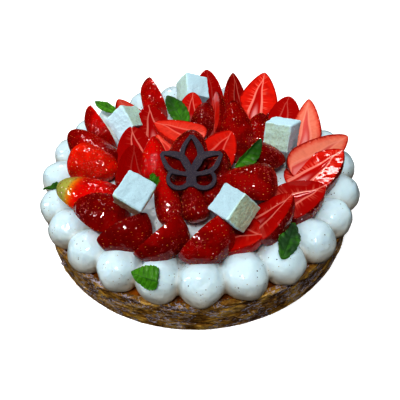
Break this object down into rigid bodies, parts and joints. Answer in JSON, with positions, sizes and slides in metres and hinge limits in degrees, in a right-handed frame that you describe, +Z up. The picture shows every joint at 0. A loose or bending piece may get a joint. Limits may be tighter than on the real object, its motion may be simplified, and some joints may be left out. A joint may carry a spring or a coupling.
{
  "type": "strawberry tart",
  "caption": "Round shortcrust tart with glazed filling, a ring of piped cream dollops, halved strawberries, marshmallow cubes, mint leaves and an openwork chocolate ornament.",
  "frame": {"origin": "under the middle of the cream, in the plane of the crust's flat underside", "axes": "+Z up; the front of the tart is at -Y, and +X is to the right seen from the front"},
  "size_m": [0.1975, 0.2018, 0.0707],
  "materials": {
    "crust": "browned flaky pastry, rough",
    "filling": "glazed caramel, wet gloss",
    "cream": "smooth piped cream, satin gloss, with fine vanilla specks",
    "strawberry": "glazed red skin with pale seeds and a red cut face with pale veins",
    "marshmallow": "dusted, fine grain",
    "mint": "waxy veined leaf",
    "chocolate": "matt dark chocolate with tan speckles"
  },
  "bodies": {
    "root": {"crust": "crust", "filling": "filling", "cream": "cream", "ornament": "chocolate", "cube_1": "marshmallow", "cube_2": "marshmallow", "cube_3": "marshmallow", "cube_4": "marshmallow", "cube_5": "marshmallow", "berry_01": "strawberry", "berry_02": "strawberry", "berry_03": "strawberry", "berry_04": "strawberry", "berry_05": "strawberry", "berry_06": "strawberry", "berry_07": "strawberry", "berry_08": "strawberry", "berry_09": "strawberry", "berry_10": "strawberry", "berry_11": "strawberry", "berry_12": "strawberry", "berry_13": "strawberry", "berry_14": "strawberry", "berry_15": "strawberry", "berry_16": "strawberry", "berry_17": "strawberry", "berry_18": "strawberry", "berry_19": "strawberry", "berry_20": "strawberry", "berry_21": "strawberry", "berry_22": "strawberry", "berry_23": "strawberry", "berry_24": "strawberry", "berry_25": "strawberry", "berry_26": "strawberry", "berry_27": "strawberry", "berry_28": "strawberry", "berry_29": "strawberry", "berry_30": "strawberry", "berry_31": "strawberry", "berry_32": "strawberry", "berry_33": "strawberry", "berry_34": "strawberry", "berry_35": "strawberry", "berry_36": "strawberry", "berry_37": "strawberry", "berry_38": "strawberry", "berry_39": "strawberry", "berry_40": "strawberry", "leaf_1": "mint", "leaf_2": "mint", "leaf_3": "mint", "leaf_4": "mint", "leaf_5": "mint", "leaf_6": "mint", "leaf_7": "mint"}
  },
  "joints": []
}
